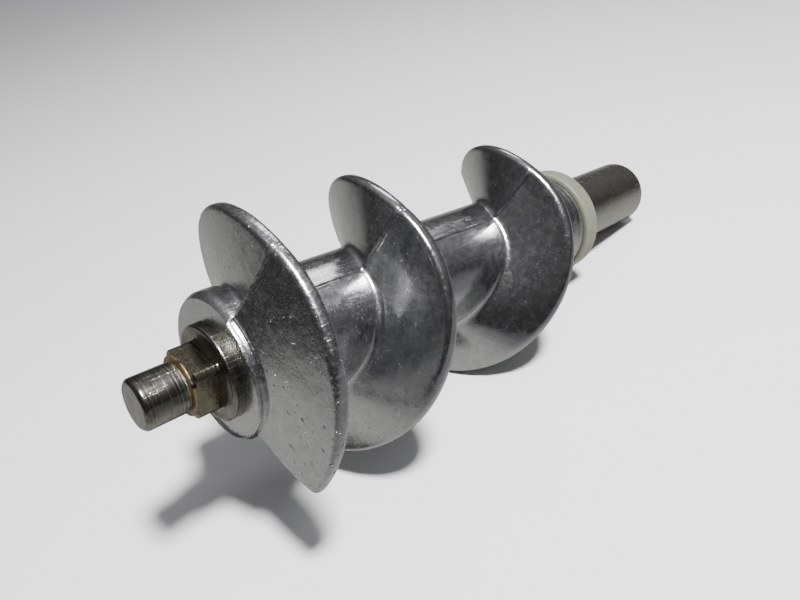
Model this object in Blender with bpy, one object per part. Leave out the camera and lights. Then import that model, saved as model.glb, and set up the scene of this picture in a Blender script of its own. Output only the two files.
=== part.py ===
"""Feed screw (worm) of a hand crank meat grinder.

A left-hand worm is die-cast in aluminium around a steel shaft. The shaft's front end carries the
knife square and the pin that runs in the cutting plate. Its rear end is the shank that the crank
fits, and a loose nylon thrust washer sits on it, against the casting.

X runs along the screw's axis, from the pin (-X) to the shank (+X). The origin is on the axis,
halfway between the two ends. Angles turn about the axis from straight down (-Z) towards -Y.
"""

import math

import bmesh
import bpy

MM = 0.001

# Overall
HALF_LENGTH = 67.5
SEGMENTS = 48
CLEARANCE = 0.3

# Steel shaft, front end
PIN_RADIUS = 4.0
PIN_CHAMFER = 0.45
GROOVE_X = -61.1
GROOVE_WIDTH = 0.4
GROOVE_RADIUS = 3.6
COLLAR_WIDTH = 0.45
COLLAR_RADIUS = 4.8
COLLAR_FILLET = 0.2
SQUARE_HALF_WIDTH = 4.25
SQUARE_CORNER_RADIUS = 5.45
SQUARE_CORNER_ANGLE = 37.5
SHOULDER_X = -56.3

# Steel shaft, body and rear end
SHAFT_RADIUS = 7.75
SHAFT_EDGE = 0.5
KEY_HALF_WIDTH = 6.6
KEY_START_X = -30.0
KEY_END_X = 0.0
SHANK_ROUNDING = 1.2
CRANK_FLAT_DISTANCE = 5.9
CRANK_FLAT_ANGLE = 270.0
CRANK_FLAT_START_X = 50.0
TAPPED_HOLE_RADIUS = 3.4
TAPPED_HOLE_DEPTH = 16.0
DRILL_POINT_DEPTH = 1.8
DRILL_POINT_RADIUS = 0.3

# Cast worm, hub
FRONT_FACE_X = -54.6
FACE_RADIUS = 11.3
BOSS_EDGE_X = -53.8
BOSS_RADIUS = 12.0
BOSS_END_X = -50.5
HUB_RADIUS_AT_ORIGIN = 10.5
HUB_TAPER = 0.017
NECK_X = 24.5
FLANGE_START_X = 26.0
FLANGE_RADIUS = 11.7
FLANGE_END_X = 28.5
RELIEF_RADIUS = 10.4
REAR_LIP_X = 29.3
REAR_LIP_RADIUS = 11.2
REAR_FACE_X = 31.9
CAST_EDGE = 0.4

# Cast worm, flight
START_ANGLE = 60.0
TURNS = 2.5
ANGLE_STEP = 7.5
PARTING_ANGLE = 150.0
FIRST_PARTING_X = -55.1
FIRST_FACE_X = -53.4
HALF_TURN_ADVANCES = (6.7, 10.3, 13.3, 18.8, 17.6, 24.4)
PLANENESS = 1.3
RIM_RADIUS_AT_ORIGIN = 22.03
RIM_TAPER = 0.035
RIM_HALF_THICKNESS = 1.3
RIM_ROUNDING = 0.8
FRONT_LEAN = 2.6
FRONT_LEAN_PER_TURN = 1.15
REAR_LEAN = 2.4
REAR_LEAN_PER_TURN = 0.5
ROOT_RADIUS = 9.2

# Nylon thrust washer
WASHER_THICKNESS = 4.0
WASHER_RADIUS = 12.0
WASHER_EDGE = 0.4


def point(x, radius, degrees):
    angle = math.radians(degrees)
    return (x * MM, -radius * math.sin(angle) * MM, -radius * math.cos(angle) * MM)


def hub_radius(x):
    return HUB_RADIUS_AT_ORIGIN - HUB_TAPER * x


def rim_radius(x):
    return RIM_RADIUS_AT_ORIGIN - RIM_TAPER * x


def flattened_radius(radius, flats, degrees):
    """The radius at an angle, once flats, each a (normal angle, distance), are milled off."""
    for normal, distance in flats:
        facing = math.cos(math.radians(degrees - normal))
        if facing * radius > distance:
            radius = distance / facing
    return radius


def square_flats():
    first = SQUARE_CORNER_ANGLE + 45
    return [(first + 90 * side, SQUARE_HALF_WIDTH) for side in range(4)]


def key_flats(extra=0.0):
    return [(normal, KEY_HALF_WIDTH + extra) for normal in (60, 240)]


def new_material(name, colour, roughness, metallic):
    material = bpy.data.materials.new(name)
    material.use_nodes = True
    shader = material.node_tree.nodes["Principled BSDF"]
    shader.inputs["Base Color"].default_value = (*colour, 1)
    shader.inputs["Roughness"].default_value = roughness
    shader.inputs["Metallic"].default_value = metallic
    return material


def new_object(name, mesh_builder, material=None):
    mesh_builder.normal_update()
    bmesh.ops.recalc_face_normals(mesh_builder, faces=mesh_builder.faces)
    mesh = bpy.data.meshes.new(name)
    mesh_builder.to_mesh(mesh)
    mesh_builder.free()
    mesh.shade_smooth()
    mesh.set_sharp_from_angle(angle=math.radians(35))
    if material:
        mesh.materials.append(material)
    made = bpy.data.objects.new(name, mesh)
    bpy.context.scene.collection.objects.link(made)
    return made


def bridge(mesh_builder, first, second):
    count = len(first)
    for index in range(count):
        following = (index + 1) % count
        corners = (first[index], first[following], second[following], second[index])
        mesh_builder.faces.new(corners)


def turned(stations, closed):
    """A body turned about the axis. A station is (x, radius) or (x, radius, flats)."""
    mesh_builder = bmesh.new()
    rings = []
    for x, radius, *rest in stations:
        flats = rest[0] if rest else []
        angles = [360 * index / SEGMENTS for index in range(SEGMENTS)]
        places = [point(x, flattened_radius(radius, flats, angle), angle) for angle in angles]
        rings.append([mesh_builder.verts.new(place) for place in places])
    for first, second in zip(rings, rings[1:]):
        bridge(mesh_builder, first, second)
    if closed:
        bridge(mesh_builder, rings[-1], rings[0])
    else:
        mesh_builder.faces.new(rings[0])
        mesh_builder.faces.new(rings[-1])
    return mesh_builder


def make_drive_shaft(material):
    collar_x = GROOVE_X + GROOVE_WIDTH
    square_x = collar_x + COLLAR_WIDTH
    square = square_flats()
    key = key_flats()
    crank = [(CRANK_FLAT_ANGLE, CRANK_FLAT_DISTANCE)]
    hole_x = HALF_LENGTH - TAPPED_HOLE_DEPTH
    stations = [
        (-HALF_LENGTH, PIN_RADIUS - PIN_CHAMFER),
        (-HALF_LENGTH + PIN_CHAMFER, PIN_RADIUS),
        (GROOVE_X, PIN_RADIUS),
        (GROOVE_X, GROOVE_RADIUS),
        (collar_x, GROOVE_RADIUS),
        (collar_x, COLLAR_RADIUS),
        (square_x, COLLAR_RADIUS),
        (square_x + COLLAR_FILLET, SQUARE_CORNER_RADIUS, square),
        (SHOULDER_X, SQUARE_CORNER_RADIUS, square),
        (SHOULDER_X, SHAFT_RADIUS - SHAFT_EDGE),
        (SHOULDER_X + SHAFT_EDGE, SHAFT_RADIUS),
        (KEY_START_X, SHAFT_RADIUS),
        (KEY_START_X, SHAFT_RADIUS, key),
        (KEY_END_X, SHAFT_RADIUS, key),
        (KEY_END_X, SHAFT_RADIUS),
        (CRANK_FLAT_START_X, SHAFT_RADIUS),
        (CRANK_FLAT_START_X, SHAFT_RADIUS, crank),
        (HALF_LENGTH - SHANK_ROUNDING, SHAFT_RADIUS, crank),
        (HALF_LENGTH - 0.3 * SHANK_ROUNDING, SHAFT_RADIUS - 0.3 * SHANK_ROUNDING, crank),
        (HALF_LENGTH, SHAFT_RADIUS - SHANK_ROUNDING, crank),
        (HALF_LENGTH, TAPPED_HOLE_RADIUS + CAST_EDGE),
        (HALF_LENGTH - CAST_EDGE, TAPPED_HOLE_RADIUS),
        (hole_x, TAPPED_HOLE_RADIUS),
        (hole_x - DRILL_POINT_DEPTH, DRILL_POINT_RADIUS),
    ]
    return new_object("drive_shaft", turned(stations, closed=False), material)


def make_thrust_washer(material):
    front = REAR_FACE_X + CLEARANCE
    rear = front + WASHER_THICKNESS
    bore = SHAFT_RADIUS + CLEARANCE
    stations = [
        (front, bore),
        (front, WASHER_RADIUS - WASHER_EDGE),
        (front + WASHER_EDGE, WASHER_RADIUS),
        (rear - WASHER_EDGE, WASHER_RADIUS),
        (rear, WASHER_RADIUS - WASHER_EDGE),
        (rear, bore),
    ]
    return new_object("thrust_washer", turned(stations, closed=True), material)


def make_hub(material):
    """The worm's hub: a sleeve cast round the shaft, with a bore that follows the shaft's key flats."""
    bore = SHAFT_RADIUS + CLEARANCE
    key = key_flats(CLEARANCE)
    stations = [
        (FRONT_FACE_X, bore),
        (FRONT_FACE_X, FACE_RADIUS),
        (BOSS_EDGE_X, BOSS_RADIUS),
        (BOSS_END_X, BOSS_RADIUS),
        (BOSS_END_X + CAST_EDGE, hub_radius(BOSS_END_X)),
        (NECK_X, hub_radius(NECK_X)),
        (FLANGE_START_X, FLANGE_RADIUS),
        (FLANGE_END_X, FLANGE_RADIUS),
        (FLANGE_END_X, RELIEF_RADIUS),
        (REAR_LIP_X, RELIEF_RADIUS),
        (REAR_LIP_X, REAR_LIP_RADIUS),
        (REAR_FACE_X, REAR_LIP_RADIUS),
        (REAR_FACE_X, bore),
        (KEY_END_X - CLEARANCE, bore),
        (KEY_END_X - CLEARANCE, bore, key),
        (KEY_START_X + CLEARANCE, bore, key),
        (KEY_START_X + CLEARANCE, bore),
    ]
    return new_object("worm_casting", turned(stations, closed=True), material)


def half_turn(degrees):
    """The half turn an angle lies in, and how far past its middle it is, in degrees."""
    count = (degrees - PARTING_ANGLE) / 180 + 1
    index = min(int(count), len(HALF_TURN_ADVANCES) - 1)
    return index, (count - index - 0.5) * 180


def rim_course(past_middle):
    """-1 to 1 over a half turn. The rim lies nearly square to the axis where the mould parts."""
    wave = math.sin(math.radians(past_middle))
    return PLANENESS * wave + (1 - PLANENESS) * past_middle / 90


def root_course(past_middle):
    """-1 to 1 over a half turn. The root leaves the parting plane on a slope and meets it square."""
    wave = math.sin(math.radians(past_middle))
    if past_middle >= 0:
        return wave
    share = 1 + past_middle / 90
    return share * wave + (1 - share) * past_middle / 90


def along_axis(index, course):
    start = FIRST_PARTING_X + sum(HALF_TURN_ADVANCES[:index])
    return start + HALF_TURN_ADVANCES[index] * (1 + course) / 2


def flight_section(degrees):
    """The flight's closed outline at one angle, as (x, radius) points."""
    index, past_middle = half_turn(degrees)
    turns = (degrees - START_ANGLE) / 360
    rim_x = along_axis(index, rim_course(past_middle))
    rim = rim_radius(rim_x)
    front_x = along_axis(index, root_course(past_middle)) - FRONT_LEAN - FRONT_LEAN_PER_TURN * turns
    rear_x = along_axis(index, -root_course(-past_middle)) + REAR_LEAN + REAR_LEAN_PER_TURN * turns
    if index == 0:
        front_x = FIRST_FACE_X
    rear_x = min(rear_x, FLANGE_END_X - CAST_EDGE)
    return [
        (front_x, ROOT_RADIUS),
        (front_x, hub_radius(front_x)),
        (rim_x - RIM_HALF_THICKNESS, rim - RIM_ROUNDING),
        (rim_x - RIM_HALF_THICKNESS + RIM_ROUNDING, rim),
        (rim_x + RIM_HALF_THICKNESS - RIM_ROUNDING, rim),
        (rim_x + RIM_HALF_THICKNESS, rim - RIM_ROUNDING),
        (rear_x, hub_radius(rear_x)),
        (rear_x, ROOT_RADIUS),
    ]


def make_flight():
    """The flight alone, its root sunk in the hub's wall, as the blank that the hub is joined to."""
    mesh_builder = bmesh.new()
    sections = []
    for step in range(round(TURNS * 360 / ANGLE_STEP) + 1):
        degrees = START_ANGLE + step * ANGLE_STEP
        places = [point(x, radius, degrees) for x, radius in flight_section(degrees)]
        sections.append([mesh_builder.verts.new(place) for place in places])
    for first, second in zip(sections, sections[1:]):
        bridge(mesh_builder, first, second)
    mesh_builder.faces.new(sections[0])
    mesh_builder.faces.new(sections[-1])
    flight = new_object("flight_blank", mesh_builder)
    flight.hide_render = True
    flight.display_type = "WIRE"
    return flight


def join(target, blank):
    union = target.modifiers.new("Flight", "BOOLEAN")
    union.operation = "UNION"
    union.solver = "EXACT"
    union.object = blank


def main():
    for old in list(bpy.data.objects):
        bpy.data.objects.remove(old)
    aluminium = new_material("cast_aluminium", (0.62, 0.62, 0.63), 0.28, 1.0)
    steel = new_material("turned_steel", (0.36, 0.34, 0.31), 0.32, 1.0)
    nylon = new_material("nylon", (0.72, 0.73, 0.62), 0.4, 0.0)
    make_drive_shaft(steel)
    make_thrust_washer(nylon)
    join(make_hub(aluminium), make_flight())


main()
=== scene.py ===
"""Looks of the grinder's feed screw: its three pieces in full detail, their materials and the studio.

X runs along the screw's axis, from the pin (-X) to the shank (+X), as in the CAD model. Angles turn
about the axis from straight down (-Z) towards -Y, in degrees, and lengths are in millimetres. The
studio's lengths are in metres, except the camera's distance and offsets.
"""

import math
import bmesh
import bpy
import numpy as np
from mathutils import Matrix, Vector


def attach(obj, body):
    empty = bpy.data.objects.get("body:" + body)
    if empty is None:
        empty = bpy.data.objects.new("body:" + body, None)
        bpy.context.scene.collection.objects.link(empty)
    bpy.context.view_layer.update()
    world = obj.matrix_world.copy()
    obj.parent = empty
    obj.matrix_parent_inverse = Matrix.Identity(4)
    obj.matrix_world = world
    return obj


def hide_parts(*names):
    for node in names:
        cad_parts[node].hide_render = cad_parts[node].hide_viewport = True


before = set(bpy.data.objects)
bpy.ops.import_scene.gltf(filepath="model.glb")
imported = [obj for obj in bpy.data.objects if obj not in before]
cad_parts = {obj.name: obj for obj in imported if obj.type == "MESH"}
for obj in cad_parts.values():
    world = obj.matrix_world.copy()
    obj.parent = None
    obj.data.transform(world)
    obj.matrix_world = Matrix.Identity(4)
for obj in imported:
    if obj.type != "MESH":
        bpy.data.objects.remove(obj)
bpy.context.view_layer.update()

MM = 0.001

# The flight's law, as in the CAD model
START_ANGLE = 60
END_ANGLE = 960
PARTING_ANGLE = 150
FIRST_PARTING_X = -55.1
FIRST_FACE_X = -53.4
HALF_TURN_ADVANCES = (6.7, 10.3, 13.3, 18.8, 17.6, 24.4)
PLANENESS = 1.3
RIM_HALF_THICKNESS = 1.3
RIM_RADIUS = 22.03
RIM_TAPER = 0.035
FRONT_SPREAD = 2.6
FRONT_SPREAD_PER_TURN = 1.15
REAR_SPREAD = 2.4
REAR_SPREAD_PER_TURN = 0.5
ROOT_TO_FLANGE = 1.6

# The casting's boss, hub and flange, as in the CAD model
FRONT_FACE_X = -54.6
FLANGE_END_X = 28.5
REAR_FACE_X = 31.9
BASE_X = (-54.6, -54.2, -53.8, -53.4, -52.4, -50.9, -50.6, -50.3, -50.0, -49.7)
BASE_R = (11.3, 11.62, 11.86, 12.0, 12.03, 12.03, 11.95, 11.72, 11.48, 11.345)
NECK_X = (24.5, 24.8, 25.1, 25.4, 25.7, 26.0, 26.4)
NECK_R = (10.084, 10.12, 10.27, 10.75, 11.3, 11.62, 11.7)
CASTING_BORE = 7.78

# Where the casting's columns have their vertices
ANGLE_STEP = 2
CREASE_OFFSETS = (-2.6, -1.7, -1.1, -0.7, -0.35, 0, 0.35, 0.7, 1.1, 1.7, 2.6)
CHANNEL_VERTICES = 22
BOSS_X = (-54.6, -54.4, -54.2, -54.0, -53.8, -53.7, -53.4, -53.0, -52.4, -51.7, -51.3, -50.9)
BOSS_END_X = (-50.75, -50.6, -50.45, -50.3, -50.15, -50.0, -49.85, -49.7)
MERGE_DISTANCE = 0.002

# The crease where the halves of the mould met, and the flight's edges and fillets
CREASE_ANGLE = 155
CREASE_DELAY = 5
CREASE_WIDTH = 1.15
CREASE_NICKS = 0.14
CREASE_FLASH = 0.30
FILLET = 1.25
FIRST_FILLET = 0.3
RIM_ROUNDING = 0.95

# The slant of the flight's first edge: the foot's turn in degrees, and where it dies out
SWEEP = 15
SWEEP_WIDTH = 28
SWEEP_TOP_RADIUS = 23.5
SWEEP_DEPTH = 11.5
SWEEP_FADE_X = (-47, -41)

# Flash along the hub, and slight waves on the hub and on the flight's faces
FLASH_START_X = (-49.5, -48)
FLASH_END_X = (23, 24.4)
HUB_TOP_RADIUS = 12.2
HUB_FLASH = 0.2
HUB_FLASH_GROOVE = 0.055
HUB_WAVES = 0.035
FACE_START_RADIUS = (12.5, 14)
FACE_WAVES = 0.045

# The boss's step and the ridge round its face, with the angles over which they begin
RIDGE_START = (325, 335)
STEP_START = (35, 55)
STEP_RADII = (11.3, 11.8)
STEP_END_X = -51.5
BOSS_STEP = 0.4

# Rings of the boss's face, and how far its ridge stands out there. Less than 0 is a recess.
FACE_RINGS = (CASTING_BORE, 8.6, 9.4, 10.1, 10.65, 10.95, 11.1, 11.2, 11.27)
FACE_RISE = (0, 0, 0, 0, -0.1, -0.14, 0.16, 0.3, 0.16)

# The flange's outline from the front: its rounded edge, the relief groove and the rear collar
FLANGE = (
    (28.3, 11.7),
    (28.42, 11.66),
    (28.48, 11.6),
    (28.5, 11.5),
    (28.5, 10.55),
    (28.58, 10.42),
    (28.9, 10.4),
    (29.22, 10.42),
    (29.3, 10.55),
    (29.3, 11.05),
    (29.34, 11.15),
    (29.45, 11.2),
    (30.6, 11.2),
    (31.75, 11.2),
    (31.87, 11.15),
    (31.9, 11.05),
    (31.9, 9.4),
    (31.9, CASTING_BORE),
)

# Edges sharper than this, in degrees, are shaded as edges
CASTING_SHARP_ANGLE = 38
TURNED_SHARP_ANGLE = 32

# The shaft
HALF_LENGTH = 67.5
SHAFT_RADIUS = 7.75
PIN_RADIUS = 4.0
CENTRE_RADIUS = 0.02
SQUARE_HALF_WIDTH = 4.25
SQUARE_CORNER_RADIUS = 5.45
SQUARE_NORMALS = (82.5, 172.5, 262.5, 352.5)
SQUARE_SOFTNESS = 0.16
SHOULDER_X = -56.3
SHOULDER_ROUNDING = 0.45
SHANK_ROUNDING = 1.2
CRANK_FLAT_DISTANCE = 5.9
CRANK_FLAT_NORMALS = (270,)
CRANK_FLAT_SOFTNESS = 0.12
THREAD_PITCH = 1.25
THREAD_DEPTH = 0.55
HOLE_RADIUS = 3.4
SHAFT_COLUMNS = 176

# The washer
WASHER_FRONT_X = 32.0
WASHER_REAR_X = 36.2
WASHER_RADIUS = 12.0
WASHER_BORE = 7.85
WASHER_ROUNDING = 0.35
WASHER_COLUMNS = 144

# Colours of the materials, as (darkest, lightest) where there are two
ALUMINIUM = ((0.40, 0.406, 0.418), (0.475, 0.48, 0.488))
ALUMINIUM_RUBBED = (0.54, 0.54, 0.535)
ALUMINIUM_PIT = (0.10, 0.10, 0.105)
ALUMINIUM_SCRATCH = (0.86, 0.86, 0.86)
STEEL = ((0.13, 0.127, 0.11), (0.25, 0.244, 0.213))
STEEL_RING = (0.34, 0.33, 0.295)
STEEL_STAIN = (0.115, 0.095, 0.06)
STEEL_SCRATCH = (0.45, 0.44, 0.41)
STEEL_ON_FLATS = (0.15, 0.13, 0.085)
# Painted light: the shank's steel is made lighter, standing in for the brighter reflections it catches
STEEL_PAINTED_LIGHT_ON_SHANK = (0.47, 0.47, 0.42)
RUST = ((0.035, 0.02, 0.006), (0.27, 0.18, 0.035))
NYLON = ((0.125, 0.133, 0.10), (0.165, 0.172, 0.132))
NYLON_SCUFF = (0.30, 0.305, 0.26)
NYLON_GLOW = (1.0, 0.95, 0.7)
NYLON_GLOW_DEPTH = 0.0022
NYLON_IOR = 1.53
PAPER = ((0.735, 0.74, 0.75), (0.755, 0.76, 0.77))

# The densities in kg/m3, which decide how the screw lies
DENSITIES = {"worm_casting": 2700, "drive_shaft": 7850, "thrust_washer": 1150}

# The floor, which is darker where the metal reflects it than where the camera sees it, and there
# darkest on the screw's -Y side: painted shade, in the floor's colour for reflections only
FLOOR_REACH = 6
FLOOR_IN_REFLECTIONS = (0.185, 0.185, 0.176)
SHADED_IN_REFLECTIONS = (0.045, 0.045, 0.047)
SHADE_FULL_Y = -0.058
SHADE_END_Y = -0.006

# The lights and the world
KEY_PLACE = (-0.100, -0.165, 0.463)
KEY_TARGET = (0, 0, 0)
KEY_DIAMETER = 0.08
KEY_POWER = 8.6
BACKDROP_PLACE = (1.1, 0.9, 1.4)
BACKDROP_TARGET = (1.1, 0.9, 0)
BACKDROP_DIAMETER = 0.8
BACKDROP_POWER = 7.5
WORLD_SLOPE = (0.03, 0.03, 0.5)
WORLD_STOPS = ((0.0, 0.02), (0.5, 0.06), (0.62, 0.09), (0.78, 0.16), (1.0, 0.45))
WORLD_BLUE = 1.02
WORLD_SEEN = (0.30, 0.30, 0.305, 1)

# The camera: its direction in degrees, and its distance and its offsets in millimetres
CAMERA_AZIMUTH = -45.46
CAMERA_ELEVATION = 27.96
CAMERA_ROLL = 0.63
CAMERA_DISTANCE = 129.18
CAMERA_RIGHT = -10.994
CAMERA_UP = -7.376
LENS = 28.44
SENSOR_WIDTH = 36
CLIP_START = 0.005


def to_metres(x, radius, degrees):
    angle = np.radians(degrees)
    x, radius, angle = np.broadcast_arrays(x, radius, angle)
    return np.stack([x, -radius * np.sin(angle), -radius * np.cos(angle)], axis=-1) * MM


def bell(distance, width):
    return np.exp(-((distance / width) ** 2))


def smooth_step(value, low, high):
    share = np.clip((value - low) / (high - low), 0, 1)
    return share * share * (3 - 2 * share)


def ripple(x, degrees, scale, seed):
    """Smooth noise over a surface of revolution, from -1 to 1."""
    angle = np.radians(degrees)
    total = 0.0
    for octave in range(4):
        turn = 2 * octave + 3 + seed % 3
        phase = 1.7 * seed + 2.3 * octave
        wave = np.sin(x / scale * (1 + 0.37 * octave) + phase + 1.3 * np.sin(turn * angle + phase))
        total = total + wave * np.cos((turn + 1) * angle - phase)
    return total / 4


def serration(x, seed):
    """Fine irregular teeth along a filed or worn edge, from 0 to 1."""
    teeth = np.sin(x * 7.3 + seed) * np.sin(x * 11.9 + 2 * seed) + 0.6 * np.sin(x * 23.1 + 3 * seed)
    return np.clip(0.5 + 0.45 * teeth, 0, 1)


def from_crease(degrees):
    """The angle from the nearest crease, which comes twice in each turn, from -90 to 90."""
    return (degrees - CREASE_ANGLE + 90) % 180 - 90


# ---------------------------------------------------------------- the worm's law


def half_turn(degrees):
    """The half turn's number, and the angle from its middle."""
    count = (degrees - PARTING_ANGLE) / 180 + 1
    index = min(max(int(count), 0), len(HALF_TURN_ADVANCES) - 1)
    return index, (count - index - 0.5) * 180


def rim_course(past_middle):
    wave = math.sin(math.radians(past_middle))
    return PLANENESS * wave + (1 - PLANENESS) * past_middle / 90


def root_course(past_middle):
    wave = math.sin(math.radians(past_middle))
    if past_middle >= 0:
        return wave
    share = 1 + past_middle / 90
    return share * wave + (1 - share) * past_middle / 90


def along_axis(index, course):
    start = FIRST_PARTING_X + sum(HALF_TURN_ADVANCES[:index])
    return start + HALF_TURN_ADVANCES[index] * (1 + course) / 2


def base_radius(x):
    """The radius of the boss, the hub and the flange, without the flight."""
    return np.interp(x, BASE_X + NECK_X, BASE_R + NECK_R)


def flight_at(degrees):
    """The flight's rim, as (x, radius), and the x of its front and rear roots."""
    index, past_middle = half_turn(degrees)
    turns = (degrees - START_ANGLE) / 360
    rim_x = along_axis(index, rim_course(past_middle))
    rim_radius = RIM_RADIUS - RIM_TAPER * rim_x
    index, past_middle = half_turn(degrees - CREASE_DELAY)
    front_x = along_axis(index, root_course(past_middle)) - FRONT_SPREAD - FRONT_SPREAD_PER_TURN * turns
    index, past_middle = half_turn(degrees + CREASE_DELAY)
    rear_x = along_axis(index, -root_course(-past_middle)) + REAR_SPREAD + REAR_SPREAD_PER_TURN * turns
    first = smooth_step(degrees, CREASE_ANGLE - 0.5, CREASE_ANGLE + 1.4)
    front_x = FIRST_FACE_X * (1 - first) + front_x * first
    return rim_x, rim_radius, front_x, min(rear_x, FLANGE_END_X - ROOT_TO_FLANGE)


# ---------------------------------------------------------------- the worm's sections


def curve(first, middle, last, count):
    """Points on a quadratic curve, both ends included."""
    share = np.linspace(0, 1, count)[:, None]
    first, middle, last = np.array(first), np.array(middle), np.array(last)
    return (1 - share) ** 2 * first + 2 * share * (1 - share) * middle + share**2 * last


def half_section(degrees, side):
    """One half of the flight's section, from the middle of its rim to the end of its root fillet.

    side is -1 for the front half and 1 for the rear half. At a crease the rim is nicked, and flash
    stands on the front face.
    """
    rim_x, rim, front_x, rear_x = flight_at(degrees)
    crease = bell(from_crease(degrees), CREASE_WIDTH)
    rim -= CREASE_NICKS * crease * serration(degrees * 3.0, 2)
    root_x = front_x if side < 0 else rear_x
    fillet = FILLET
    if side < 0:
        share = smooth_step(degrees, CREASE_ANGLE - 0.5, CREASE_ANGLE + 6)
        fillet = FIRST_FILLET * (1 - share) + FILLET * share
    root = np.array([root_x, base_radius(root_x)])
    edge = np.array([rim_x + side * RIM_HALF_THICKNESS, rim - RIM_ROUNDING])
    down = (root - edge) / np.linalg.norm(root - edge)
    corner = edge - down * RIM_ROUNDING * 0.9
    over = np.array([rim_x + side * 0.35, rim])
    end_x = root_x + side * fillet
    end = np.array([end_x, base_radius(end_x)])
    rim_part = curve(over, corner, edge, 7)
    face_end = root - down * fillet * 1.1
    face = np.linspace(edge, face_end, 15)[1:-1]
    root_part = curve(face_end, root, end, 8)
    section = np.concatenate([[[rim_x, rim]], rim_part, face, root_part])
    if side < 0:
        radius = section[:, 1]
        inner = smooth_step(radius, root[1] - 0.2, root[1] + 0.8)
        outer = 1 - smooth_step(radius, rim - 1.2, rim - 0.3)
        teeth = 0.55 + 0.45 * serration(radius * 1.3, 5)
        section[:, 0] -= CREASE_FLASH * crease * inner * outer * teeth
    return section


def rear_end(degrees):
    return flight_at(degrees)[3] + FILLET


def front_end(degrees):
    return half_section(degrees, -1)[-1][0]


def grid_faces(rows, columns, closed=False):
    """Quads between columns of vertices that are stored one after the other."""
    row = np.arange(rows - 1)[None, :]
    column = np.arange(columns if closed else columns - 1)[:, None]
    following = (column + 1) % columns
    first = column * rows + row
    second = following * rows + row
    return np.stack([first, second, second + 1, first + 1], axis=-1).reshape(-1, 4)


def angle_list(first, last):
    """The columns' angles from first to last: even steps, and finer ones about each crease."""
    plain = np.arange(first, last + 0.5 * ANGLE_STEP, ANGLE_STEP, dtype=float)
    crease = CREASE_ANGLE + 180 * np.arange(-3, 6)
    near = (crease[:, None] + np.array(CREASE_OFFSETS)[None, :]).ravel()
    distance = np.abs(plain[:, None] - crease[None, :]).min(axis=1)
    plain = plain[(distance > max(CREASE_OFFSETS) + 0.5) | (plain == first) | (plain == last)]
    near = near[(near > first) & (near < last)]
    return np.unique(np.round(np.concatenate([plain, near]), 4))


def hub_detail(points, degrees):
    """Adds the parting line's filed flash, and the casting's slight waves, to (x, radius) points."""
    x, radius = points[:, 0], points[:, 1]
    distance = from_crease(degrees)
    along_hub = smooth_step(x, *FLASH_START_X) * (1 - smooth_step(x, *FLASH_END_X))
    on_hub = along_hub * (radius < HUB_TOP_RADIUS)
    near_root = bell(radius - base_radius(x), 0.25)
    teeth = serration(x * 1.4, 4)
    flash = HUB_FLASH * bell(distance - 0.8, 1.5) * (0.55 + 0.45 * teeth)
    groove = HUB_FLASH_GROOVE * bell(distance + 1.1, 0.45)
    points[:, 1] += on_hub * near_root * (flash - groove)
    points[:, 1] += on_hub * near_root * HUB_WAVES * ripple(x, degrees, 5.0, 1)
    on_face = smooth_step(radius, *FACE_START_RADIUS)
    points[:, 0] += on_face * FACE_WAVES * ripple(radius * 1.3, degrees, 3.1, 2)
    return points


def front_column(degrees):
    """From the boss's face to the rim of the flight's first turn, at one angle.

    The ridge round the face, and the step on the boss, are only on one side of the parting line,
    which is the side towards -Y: the two halves of the mould didn't quite match.
    """
    in_turn = degrees % 360
    near_side = max(smooth_step(CREASE_ANGLE - in_turn, 0, 3), smooth_step(in_turn, *RIDGE_START))
    ridge = near_side * (0.6 + 0.4 * serration(degrees * 1.1, 1))
    face = [(FRONT_FACE_X - rise * ridge, radius) for radius, rise in zip(FACE_RINGS, FACE_RISE)]
    limit = front_end(degrees + 360)
    first_rear = rear_end(START_ANGLE)
    hub_x = np.linspace(first_rear, max(limit, first_rear), CHANNEL_VERTICES)
    along = np.minimum(np.concatenate([BOSS_X, BOSS_END_X, hub_x]), limit)
    boss = np.stack([along, base_radius(along)], axis=1)
    stepped = near_side * smooth_step(in_turn, *STEP_START)
    outer = smooth_step(boss[:, 1], *STEP_RADII)
    boss[:, 1] -= BOSS_STEP * stepped * outer * (along < STEP_END_X)
    flight = half_section(degrees + 360, -1)[::-1][1:]
    return hub_detail(np.concatenate([face, boss, flight]), degrees)


def middle_column(degrees):
    """From the rim of one turn of the flight, across the channel, to the rim of the next."""
    rear = half_section(degrees, 1)
    front = half_section(degrees + 360, -1)[::-1]
    along = np.linspace(rear[-1][0], front[0][0], CHANNEL_VERTICES)[1:-1]
    channel = np.stack([along, base_radius(along)], axis=1)
    return hub_detail(np.concatenate([rear, channel, front]), degrees)


def rear_column(degrees):
    """From the rim of the flight's last turn to the casting's rear end, at one angle."""
    rear = half_section(degrees, 1)
    last_front = front_end(END_ANGLE)
    channel = np.linspace(min(rear[-1][0], last_front), last_front, CHANNEL_VERTICES)[1:]
    under = np.linspace(last_front, NECK_X[0], 8)[1:-1]
    late = np.array(NECK_X + (27.0, 27.6, rear_end(END_ANGLE)))
    along = np.maximum(np.concatenate([channel, under, late]), rear[-1][0])
    hub = np.stack([along, base_radius(along)], axis=1)
    return hub_detail(np.concatenate([rear, hub, FLANGE]), degrees)


def sweep_start(places):
    """Turns the foot of the flight's first edge to smaller angles, so that the edge is slanted."""
    x, y, z = places[:, 0] / MM, places[:, 1] / MM, places[:, 2] / MM
    radius = np.hypot(y, z)
    degrees = np.degrees(np.arctan2(-y, -z)) % 360
    window = bell((degrees - START_ANGLE + 180) % 360 - 180, SWEEP_WIDTH)
    depth = np.clip((SWEEP_TOP_RADIUS - radius) / SWEEP_DEPTH, 0, 1)
    ahead = 1 - smooth_step(x, *SWEEP_FADE_X)
    return to_metres(x, radius, degrees - SWEEP * window * depth * ahead)


# ---------------------------------------------------------------- the pieces


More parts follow.
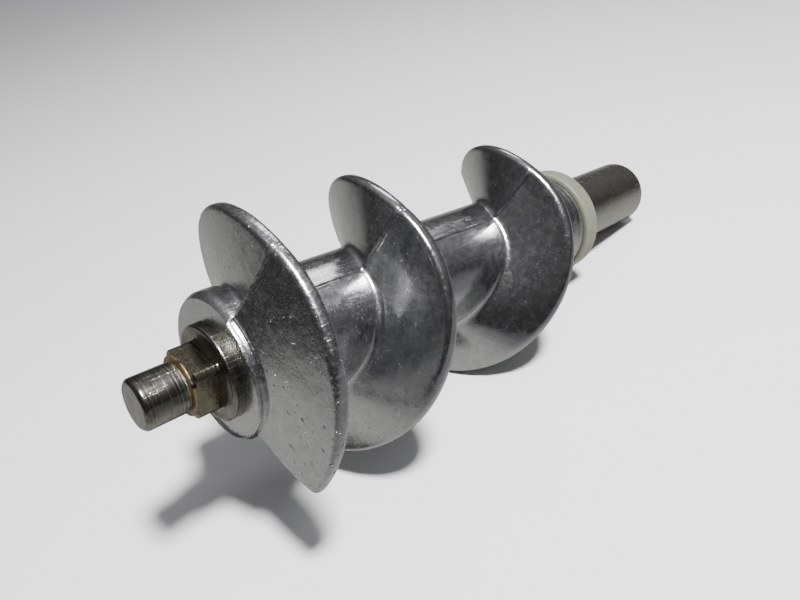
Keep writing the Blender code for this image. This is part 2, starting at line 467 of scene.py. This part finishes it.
def new_piece(name, places, faces, sharp_angle):
    """A mesh object from vertices and faces, with doubles merged and normals facing out."""
    mesh = bpy.data.meshes.new(name)
    mesh.from_pydata(places.tolist(), [], faces)
    builder = bmesh.new()
    builder.from_mesh(mesh)
    bmesh.ops.remove_doubles(builder, verts=builder.verts, dist=MERGE_DISTANCE * MM)
    bmesh.ops.dissolve_degenerate(builder, edges=builder.edges, dist=MERGE_DISTANCE * MM)
    open_edges = [edge for edge in builder.edges if edge.is_boundary]
    if open_edges:
        bmesh.ops.holes_fill(builder, edges=open_edges, sides=0)
    bmesh.ops.recalc_face_normals(builder, faces=builder.faces)
    builder.to_mesh(mesh)
    assert all(edge.is_manifold for edge in builder.edges), name
    builder.free()
    mesh.shade_smooth()
    mesh.set_sharp_from_angle(angle=math.radians(sharp_angle))
    piece = bpy.data.objects.new(name, mesh)
    bpy.context.scene.collection.objects.link(piece)
    return piece


def make_worm():
    """The casting: three bands of columns that follow each other along the helix, and the bore."""
    places = []
    faces = []
    offset = 0
    for column, first, last in (
        (front_column, START_ANGLE - 360, START_ANGLE),
        (middle_column, START_ANGLE, END_ANGLE - 360),
        (rear_column, END_ANGLE - 360, END_ANGLE),
    ):
        columns = []
        for angle in angle_list(first, last):
            points = column(angle)
            columns.append(to_metres(points[:, 0], points[:, 1], angle))
        rows = len(columns[0])
        places.extend(columns)
        faces.append(grid_faces(rows, len(columns)) + offset)
        offset += rows * len(columns)
    ends = np.array([FRONT_FACE_X, REAR_FACE_X])
    angles = angle_list(START_ANGLE - 360, START_ANGLE)
    bore = [to_metres(ends, CASTING_BORE, angle) for angle in angles]
    places.extend(bore)
    faces.append(grid_faces(2, len(bore)) + offset)
    places = sweep_start(np.concatenate(places))
    faces = np.concatenate(faces).tolist()
    return new_piece("worm_cast_body", places, faces, CASTING_SHARP_ANGLE)


def flat_cut(radius, degrees, normals, distance, softness):
    """The radius once flats are cut, with corners broken by about the softness."""
    for normal in normals:
        facing = np.cos(np.radians(degrees - normal))
        cut = np.where(facing > 0.05, distance / np.maximum(facing, 0.05), 99.0)
        share = np.clip(0.5 + 0.5 * (radius - cut) / softness, 0, 1)
        radius = radius * (1 - share) + cut * share - softness * share * (1 - share)
    return radius


def arc(centre_x, centre_r, radius, first, last, count):
    """Stations on a rounded edge. Angles go from +r (90) towards +x (0)."""
    angles = np.radians(np.linspace(first, last, count))
    return [(centre_x + radius * math.cos(a), centre_r + radius * math.sin(a)) for a in angles]


def turned(name, stations, columns, closed, change):
    """A turned body, from stations of (x, radius) or (x, radius, kind).

    change gives the place of a station that has a kind, at each angle. closed joins the last
    station to the first, and otherwise the body is closed at both ends by a small disc.
    """
    angles = np.arange(columns) * 360 / columns
    x = np.array([station[0] for station in stations])[None, :] + np.zeros((columns, 1))
    radius = np.array([station[1] for station in stations])[None, :] + np.zeros((columns, 1))
    degrees = angles[:, None] + np.zeros_like(x)
    for index, station in enumerate(stations):
        if len(station) > 2:
            x[:, index], radius[:, index] = change(station[2], x[:, index], radius[:, index], angles)
    places = to_metres(x, radius, degrees).reshape(-1, 3)
    rows = len(stations)
    faces = grid_faces(rows, columns, closed=True).tolist()
    if closed:
        first = np.arange(columns) * rows
        following = np.roll(first, -1)
        last = first + rows - 1
        faces += np.stack([first, last, following + rows - 1, following], axis=1).tolist()
    return new_piece(name, places, faces, TURNED_SHARP_ANGLE)


def shaft_change(kind, x, radius, angles):
    """The knife's square, the crank's flat, the thread in the hole, or the shoulder's turned face."""
    if kind == "square":
        return x, flat_cut(radius, angles, SQUARE_NORMALS, SQUARE_HALF_WIDTH, SQUARE_SOFTNESS)
    if kind == "crank":
        return x, flat_cut(radius, angles, CRANK_FLAT_NORMALS, CRANK_FLAT_DISTANCE, CRANK_FLAT_SOFTNESS)
    if kind == "thread":
        turn = (x / THREAD_PITCH - angles / 360) % 1
        return x, HOLE_RADIUS + THREAD_DEPTH * np.clip(abs(2 * turn - 1) * 1.25 - 0.12, 0, 1)
    wave = 0.02 * np.sin(radius * 19) + 0.012 * np.sin(radius * 41)
    return x + wave, radius


def make_shaft():
    end = HALF_LENGTH
    stations = [(-end, CENTRE_RADIUS)]
    stations += [(-end + 0.012 * math.sin(9 * r) ** 2, r) for r in np.linspace(0.3, 3.35, 16)]
    stations += [(-end + 0.02, 3.5), (-end + 0.10, 3.62), (-end + 0.42, 3.93), (-end + 0.55, 3.99)]
    stations += [(x, PIN_RADIUS + 0.0012 * math.sin(9.1 * x)) for x in np.linspace(-66.8, -61.25, 40)]
    stations += arc(-61.25, 3.85, 0.15, 90, 0, 5)
    stations += [(-61.1, 3.6), (-60.95, 3.52), (-60.75, 3.6)]
    stations += [(-60.72, 4.4), (-60.7, 4.62), (-60.6, 4.78), (-60.45, 4.8), (-60.3, 4.72)]
    stations += [(-60.25, 4.55)]
    stations += [(-60.22, 4.9, "square"), (-60.14, 5.3, "square")]
    stations += [(-60.0, SQUARE_CORNER_RADIUS, "square")]
    stations += [(x, SQUARE_CORNER_RADIUS, "square") for x in np.linspace(-59.6, -56.6, 9)]
    stations += [(-56.42, SQUARE_CORNER_RADIUS, "square"), (-56.32, 5.5, "square")]
    stations += [(SHOULDER_X, r, "disc") for r in np.linspace(5.75, 7.2, 30)]
    stations += arc(-55.85, 7.3, SHOULDER_ROUNDING, 180, 90, 7)
    stations += [(x, SHAFT_RADIUS) for x in (-55.4, -54.6, -20, 20, 31.9)]
    stations += [(x, SHAFT_RADIUS) for x in np.linspace(33, 49.8, 12)]
    stations += [(50.0, SHAFT_RADIUS), (50.02, SHAFT_RADIUS, "crank"), (50.1, SHAFT_RADIUS, "crank")]
    stations += [(x, SHAFT_RADIUS, "crank") for x in np.linspace(52, 66.2, 14)]
    rounded = arc(end - SHANK_ROUNDING, SHAFT_RADIUS - SHANK_ROUNDING, SHANK_ROUNDING, 84, 6, 8)
    stations += [(x, r, "crank") for x, r in rounded]
    stations += [(end, 6.5, "crank"), (end, 6.1, "crank"), (end, 5.6), (end, 4.6), (end, 4.35)]
    stations += [(end - 0.12, 4.2), (end - 0.45, 3.95)]
    threaded = np.arange(end - 0.5, end - 15, -THREAD_PITCH / 8)
    stations += [(x, HOLE_RADIUS, "thread") for x in threaded]
    stations += [(end - 15.2, HOLE_RADIUS), (end - 16, HOLE_RADIUS), (end - 17.8, CENTRE_RADIUS)]
    return turned("shaft_turned_body", stations, SHAFT_COLUMNS, False, shaft_change)


def washer_change(kind, x, radius, angles):
    """The washer's rim, which isn't quite round. It has stations of one kind only."""
    slow = 0.02 * np.sin(np.radians(3 * angles) + 1)
    return x, radius + slow + 0.012 * np.sin(np.radians(11 * angles))


def make_washer():
    front, rear, outer, bore = WASHER_FRONT_X, WASHER_REAR_X, WASHER_RADIUS, WASHER_BORE
    rounding = WASHER_ROUNDING
    stations = [(front, bore + 0.25), (front, 9.5), (front, 11.0)]
    stations += arc(front + rounding, outer - rounding, rounding, 180, 90, 7)
    stations += [(front + 0.8, outer, "edge"), (front + 1.9, outer + 0.01, "edge")]
    stations += [(front + 2.1, outer + 0.05, "edge"), (front + 2.3, outer + 0.01, "edge")]
    stations += [(rear - 0.8, outer, "edge")]
    stations += arc(rear - rounding, outer - rounding, rounding, 90, 0, 7)
    stations += [(rear, 11.0), (rear, 10.2), (rear - 0.05, 10.0), (rear - 0.05, 8.9), (rear, 8.7)]
    stations += [(rear, bore + 0.25), (rear - 0.2, bore), (front + 0.2, bore)]
    return turned("washer_nylon_ring", stations, WASHER_COLUMNS, True, washer_change)


# ---------------------------------------------------------------- materials


class Shader:
    """A node material, built up one node at a time.

    place is the point on the object in millimetres, x its place along the axis, and radius its
    distance from the axis. A method's value is a number, a colour or a node's output.
    """

    def __init__(self, name):
        self.material = bpy.data.materials.new(name)
        self.material.use_nodes = True
        self.tree = self.material.node_tree
        self.surface = self.tree.nodes["Principled BSDF"]
        coordinates = self.tree.nodes.new("ShaderNodeTexCoord")
        to_mm = {0: coordinates.outputs["Object"], 1: (1000, 1000, 1000)}
        self.place = self.add("ShaderNodeVectorMath", to_mm, operation="MULTIPLY").outputs[0]
        split = self.add("ShaderNodeSeparateXYZ", {0: self.place})
        self.x = split.outputs[0]
        flat = self.add("ShaderNodeCombineXYZ", {1: split.outputs[1], 2: split.outputs[2]})
        length = self.add("ShaderNodeVectorMath", {0: flat.outputs[0]}, operation="LENGTH")
        self.radius = length.outputs["Value"]

    def add(self, kind, inputs=None, **settings):
        node = self.tree.nodes.new(kind)
        for key, value in settings.items():
            setattr(node, key, value)
        for key, value in (inputs or {}).items():
            self.give(node.inputs[key], value)
        return node

    def give(self, socket, value):
        if isinstance(value, bpy.types.NodeSocket):
            self.tree.links.new(value, socket)
        else:
            socket.default_value = value

    def math(self, operation, first, second=0.0, third=0.0, clamp=False):
        inputs = {0: first, 1: second, 2: third}
        return self.add("ShaderNodeMath", inputs, operation=operation, use_clamp=clamp).outputs[0]

    def times(self, first, second):
        return self.math("MULTIPLY", first, second)

    def plus(self, first, second):
        return self.math("ADD", first, second)

    def largest(self, first, second):
        return self.math("MAXIMUM", first, second)

    def relief(self, first, *parts):
        """A height that is the sum of its parts, each a field and its share."""
        height = self.times(*first)
        for field, share in parts:
            height = self.math("MULTIPLY_ADD", field, share, height)
        return height

    def noise(self, scale, detail=4.0, roughness=0.55, place=None, distortion=0.0):
        inputs = {
            "Vector": place or self.place,
            "Scale": scale,
            "Detail": detail,
            "Roughness": roughness,
            "Distortion": distortion,
        }
        return self.add("ShaderNodeTexNoise", inputs).outputs["Fac"]

    def cells(self, scale):
        inputs = {"Vector": self.place, "Scale": scale}
        return self.add("ShaderNodeTexVoronoi", inputs).outputs["Distance"]

    def stretched(self, turn, stretch):
        """Coordinates turned and stretched, for marks that run one way."""
        inputs = {"Vector": self.place, "Rotation": turn, "Scale": stretch}
        return self.add("ShaderNodeMapping", inputs).outputs[0]

    def span(self, value, low, high, first=0.0, last=1.0):
        """Maps low..high smoothly to first..last, clamped."""
        inputs = {0: value, 1: low, 2: high, 3: first, 4: last}
        return self.add("ShaderNodeMapRange", inputs, interpolation_type="SMOOTHSTEP").outputs[0]

    def band(self, value, low, rise_end, fall_start, high):
        """1 from rise_end to fall_start, and 0 below low and above high."""
        return self.times(self.span(value, low, rise_end), self.span(value, high, fall_start))

    def mix(self, share, first, second):
        node = self.add("ShaderNodeMix", data_type="RGBA")
        self.give(node.inputs[0], share)
        for index, colour in ((6, first), (7, second)):
            self.give(node.inputs[index], (*colour, 1) if isinstance(colour, tuple) else colour)
        return node.outputs[2]

    def bump(self, height, strength, distance):
        inputs = {"Strength": strength, "Distance": distance * MM, "Height": height}
        return self.add("ShaderNodeBump", inputs).outputs[0]

    def finish(self, **sockets):
        for name, value in sockets.items():
            self.give(self.surface.inputs[name.replace("_", " ")], value)
        return self.material


def scratches(shader, turn, threshold, scale):
    """Thin marks that run one way, 1 on a mark. A higher threshold leaves fewer of them."""
    place = shader.stretched(turn, (scale * 0.05, scale, scale))
    lines = shader.noise(1.0, detail=2.0, roughness=0.4, place=place)
    return shader.span(lines, threshold, threshold + 0.035)


def cast_aluminium():
    """Tumbled aluminium, with scratches all over, and pits on the flight, most on its first turn."""
    shader = Shader("cast_aluminium_tumbled")
    cloud = shader.noise(0.10, detail=3)
    mottle = shader.noise(0.7, detail=5, roughness=0.62)
    grain = shader.noise(2.6, detail=4, roughness=0.6)
    fine = shader.noise(9.0, detail=2)
    dents = shader.cells(0.9)
    marks = scratches(shader, (0.3, 0.9, 0.4), 0.66, 3.1)
    crossed = scratches(shader, (1.2, -0.5, 1.1), 0.665, 2.6)
    third = scratches(shader, (-0.7, 0.2, -0.9), 0.67, 4.2)
    lines = shader.largest(shader.largest(marks, crossed), third)
    pit_seed = shader.noise(1.15, detail=3, roughness=0.6, distortion=0.3)
    pit_mask = shader.span(shader.noise(0.085, detail=2), 0.47, 0.56)
    pit_mask = shader.times(pit_mask, shader.span(shader.x, -34, -44, 0.25, 1.0))
    pit_mask = shader.times(pit_mask, shader.span(shader.radius, 12.4, 13.2))
    pits = shader.times(shader.span(pit_seed, 0.625, 0.66), pit_mask)

    colour = shader.mix(cloud, *ALUMINIUM)
    colour = shader.mix(shader.span(mottle, 0.35, 0.7), colour, ALUMINIUM_RUBBED)
    colour = shader.mix(shader.times(pits, 0.85), colour, ALUMINIUM_PIT)
    colour = shader.mix(shader.times(lines, 0.3), colour, ALUMINIUM_SCRATCH)

    rough = shader.span(mottle, 0.3, 0.75, 0.12, 0.21)
    rough = shader.plus(rough, shader.span(shader.x, -42, -24, 0.06, 0.0))
    rough = shader.plus(rough, shader.span(grain, 0.35, 0.7, -0.04, 0.07))
    rough = shader.math("ADD", rough, shader.times(pits, 0.3), clamp=True)

    worn = shader.span(dents, 0.0, 0.32)
    height = shader.relief(
        (mottle, 0.5), (grain, 0.2), (fine, 0.02), (worn, 0.03), (lines, -0.07), (pits, -1.1)
    )
    normal = shader.bump(height, shader.span(shader.x, -50, -24, 0.72, 0.24), 0.16)
    return shader.finish(Base_Color=colour, Metallic=1.0, Roughness=rough, Normal=normal)


def turned_steel():
    """Grey-brown steel with turning rings, stained on the square, painted lighter on the shank, and
    with rust in the corners.
    """
    shader = Shader("turned_steel_aged")
    cloud = shader.span(shader.noise(0.7, detail=5, roughness=0.65), 0.34, 0.66)
    stain = shader.span(shader.noise(0.5, detail=6, roughness=0.72, distortion=0.6), 0.52, 0.68)
    marks = scratches(shader, (0.4, 1.1, 0.2), 0.66, 4.0)
    marks = shader.largest(marks, scratches(shader, (1.4, -0.4, 0.8), 0.665, 3.3))
    along = shader.add("ShaderNodeCombineXYZ", {0: shader.x}).outputs[0]
    outward = shader.add("ShaderNodeCombineXYZ", {0: shader.radius}).outputs[0]
    rings = shader.noise(3.2, detail=4, roughness=0.6, place=along)
    swirl = shader.noise(5.5, detail=4, roughness=0.75, place=outward)
    speck = shader.noise(3.2, detail=4)

    in_groove = shader.band(shader.x, -61.9, -61.05, -60.4, -59.4)
    at_shoulder = shader.band(shader.x, -57.9, -56.4, -56.2, -55.9)
    at_shoulder = shader.times(at_shoulder, shader.span(shader.radius, 6.6, 5.2))
    on_flats = shader.band(shader.x, -60.6, -60.2, -56.6, -56.1)
    zone = shader.plus(shader.times(in_groove, 0.75), shader.times(at_shoulder, 0.55))
    zone = shader.largest(zone, shader.times(on_flats, 0.34))
    rust_noise = shader.noise(0.9, detail=5, roughness=0.7)
    rust = shader.span(shader.plus(rust_noise, zone), 1.08, 1.40)

    colour = shader.mix(cloud, *STEEL)
    colour = shader.mix(shader.span(rings, 0.45, 0.7), colour, STEEL_RING)
    colour = shader.mix(shader.times(stain, 0.6), colour, STEEL_STAIN)
    colour = shader.mix(shader.times(marks, 0.5), colour, STEEL_SCRATCH)
    colour = shader.mix(shader.times(on_flats, 0.55), colour, STEEL_ON_FLATS)
    # Painted light: from x 30 on, the shank's steel is lighter, for the brighter reflections it catches
    # there
    colour = shader.mix(shader.span(shader.x, 30, 34, 0.0, 0.6), colour, STEEL_PAINTED_LIGHT_ON_SHANK)
    colour = shader.mix(rust, colour, shader.mix(speck, *RUST))

    rough = shader.span(rings, 0.3, 0.75, 0.14, 0.27)
    rough = shader.plus(rough, shader.times(stain, 0.12))
    rough = shader.math("ADD", rough, shader.times(rust, 0.35), clamp=True)
    metal = shader.span(rust, 0.0, 1.0, 1.0, 0.6)

    crust = shader.times(rust, speck)
    height = shader.relief(
        (rings, 0.5), (swirl, 0.5), (speck, 0.10), (crust, 0.7), (cloud, 0.9), (marks, -0.5)
    )
    normal = shader.bump(height, 0.5, 0.03)
    return shader.finish(Base_Color=colour, Metallic=metal, Roughness=rough, Normal=normal)


def nylon():
    """Milky nylon, a little scuffed, that light enters."""
    shader = Shader("nylon_natural")
    cloud = shader.noise(0.22, detail=3)
    scuff = shader.noise(1.8, detail=5, roughness=0.7)
    colour = shader.mix(cloud, *NYLON)
    colour = shader.mix(shader.span(scuff, 0.58, 0.75), colour, NYLON_SCUFF)
    shader.surface.subsurface_method = "RANDOM_WALK"
    return shader.finish(
        Base_Color=colour,
        Roughness=shader.span(scuff, 0.3, 0.7, 0.34, 0.52),
        Normal=shader.bump(shader.plus(scuff, cloud), 0.35, 0.10),
        Subsurface_Weight=0.6,
        Subsurface_Radius=NYLON_GLOW,
        Subsurface_Scale=NYLON_GLOW_DEPTH,
        IOR=NYLON_IOR,
    )


def paper():
    """The floor's pale paper, with painted shade: darker for the rays that the metal reflects."""
    shader = Shader("pale_floor")
    weave = shader.noise(0.35, detail=2)
    colour = shader.mix(weave, *PAPER)
    rays = shader.add("ShaderNodeLightPath")
    position = shader.add("ShaderNodeNewGeometry").outputs["Position"]
    across = shader.add("ShaderNodeSeparateXYZ", {0: position}).outputs[1]
    # Painted shade: the floor that the metal reflects is darker, and darkest towards -Y
    shade = shader.span(across, SHADE_FULL_Y, SHADE_END_Y)
    reflected = shader.mix(shade, SHADED_IN_REFLECTIONS, FLOOR_IN_REFLECTIONS)
    colour = shader.mix(rays.outputs["Is Glossy Ray"], colour, reflected)
    return shader.finish(Base_Color=colour, Roughness=0.75)


# ---------------------------------------------------------------- the studio


def resting_plane():
    """The table's plane, as (up, a point on it), for the stable pose that is nearest to -Z down."""
    hull = bmesh.new()
    weight = 0.0
    centre = Vector()
    for name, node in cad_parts.items():
        solid = bmesh.new()
        solid.from_mesh(node.data)
        bmesh.ops.triangulate(solid, faces=solid.faces)
        for face in solid.faces:
            a, b, c = (vertex.co for vertex in face.verts)
            share = a.dot(b.cross(c)) / 6 * DENSITIES[name]
            weight += share
            centre += share * (a + b + c) / 4
        solid.free()
        hull.from_mesh(node.data)
    centre /= weight
    made = bmesh.ops.convex_hull(hull, input=hull.verts)
    interior = [item for item in made["geom_interior"] if isinstance(item, bmesh.types.BMVert)]
    bmesh.ops.delete(hull, geom=interior, context="VERTS")
    bmesh.ops.triangulate(hull, faces=hull.faces)
    bmesh.ops.recalc_face_normals(hull, faces=hull.faces)
    best = None
    for face in hull.faces:
        normal = face.normal
        a, b, c = (vertex.co for vertex in face.verts)
        foot = centre - normal * normal.dot(centre - a)
        sides = [(q - p).cross(foot - p).dot(normal) for p, q in ((a, b), (b, c), (c, a))]
        inside = all(side >= -1e-12 for side in sides)
        if inside and (best is None or normal.z < best[0].z):
            best = (normal.copy(), a.copy())
    hull.free()
    return -best[0], best[1]


def make_floor(up, touching):
    builder = bmesh.new()
    bmesh.ops.create_grid(builder, x_segments=8, y_segments=8, size=FLOOR_REACH)
    mesh = bpy.data.meshes.new("floor")
    builder.to_mesh(mesh)
    builder.free()
    floor = bpy.data.objects.new("floor", mesh)
    bpy.context.scene.collection.objects.link(floor)
    turn = up.to_track_quat("Z", "Y").to_matrix().to_4x4()
    height = up.dot(touching)
    floor.matrix_world = Matrix.Translation(up * height) @ turn
    floor.data.materials.append(paper())


def area_light(name, place, target, diameter, power):
    data = bpy.data.lights.new(name, "AREA")
    data.shape = "DISK"
    data.size = diameter
    data.energy = power
    light = bpy.data.objects.new(name, data)
    bpy.context.scene.collection.objects.link(light)
    light.location = place
    light.rotation_mode = "QUATERNION"
    light.rotation_quaternion = (Vector(target) - Vector(place)).to_track_quat("-Z", "Y")


def make_world():
    """A dark room with a pale ceiling. Where the camera itself sees it, it is a plain grey."""
    world = bpy.data.worlds.new("studio")
    bpy.context.scene.world = world
    world.use_nodes = True
    tree = world.node_tree
    background = tree.nodes["Background"]
    direction = tree.nodes.new("ShaderNodeTexCoord")
    towards = tree.nodes.new("ShaderNodeVectorMath")
    towards.operation = "DOT_PRODUCT"
    towards.inputs[1].default_value = WORLD_SLOPE
    tree.links.new(direction.outputs["Generated"], towards.inputs[0])
    shift = tree.nodes.new("ShaderNodeMath")
    shift.inputs[1].default_value = 0.5
    tree.links.new(towards.outputs["Value"], shift.inputs[0])
    ramp = tree.nodes.new("ShaderNodeValToRGB")
    tree.links.new(shift.outputs[0], ramp.inputs[0])
    stops = ramp.color_ramp.elements
    while len(stops) < len(WORLD_STOPS):
        stops.new(0.5)
    for stop, (position, value) in zip(stops, WORLD_STOPS):
        stop.position = position
        stop.color = (value, value, value * WORLD_BLUE, 1)
    rays = tree.nodes.new("ShaderNodeLightPath")
    seen = tree.nodes.new("ShaderNodeMix")
    seen.data_type = "RGBA"
    seen.inputs[7].default_value = WORLD_SEEN
    tree.links.new(rays.outputs["Is Camera Ray"], seen.inputs[0])
    tree.links.new(ramp.outputs[0], seen.inputs[6])
    tree.links.new(seen.outputs[2], background.inputs[0])


def make_camera():
    data = bpy.data.cameras.new("camera")
    camera = bpy.data.objects.new("camera", data)
    bpy.context.scene.collection.objects.link(camera)
    azimuth = math.radians(CAMERA_AZIMUTH)
    elevation = math.radians(CAMERA_ELEVATION)
    roll = math.radians(CAMERA_ROLL)
    away = Vector((
        math.sin(azimuth) * math.cos(elevation),
        -math.cos(azimuth) * math.cos(elevation),
        math.sin(elevation),
    ))
    level = (-away).cross(Vector((0, 0, 1))).normalized()
    upright = level.cross(-away)
    right = math.cos(roll) * level + math.sin(roll) * upright
    up = -math.sin(roll) * level + math.cos(roll) * upright
    place = (away * CAMERA_DISTANCE + right * CAMERA_RIGHT + up * CAMERA_UP) * MM
    turn = Matrix((right, up, away)).transposed()
    camera.matrix_world = Matrix.Translation(place) @ turn.to_4x4()
    data.lens = LENS
    data.sensor_width = SENSOR_WIDTH
    data.clip_start = CLIP_START
    bpy.context.scene.camera = camera


def dress(piece, material, slot, body, *nodes):
    piece.data.materials.append(material)
    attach(piece, body)
    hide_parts(*nodes)


dress(make_worm(), cast_aluminium(), "cast_aluminium", "screw", "worm_casting")
dress(make_shaft(), turned_steel(), "turned_steel", "screw", "drive_shaft")
dress(make_washer(), nylon(), "nylon", "washer", "thrust_washer")
table_up, touching = resting_plane()
make_floor(table_up, touching)
area_light("key", KEY_PLACE, KEY_TARGET, KEY_DIAMETER, KEY_POWER)
area_light("backdrop", BACKDROP_PLACE, BACKDROP_TARGET, BACKDROP_DIAMETER, BACKDROP_POWER)
make_world()
make_camera()
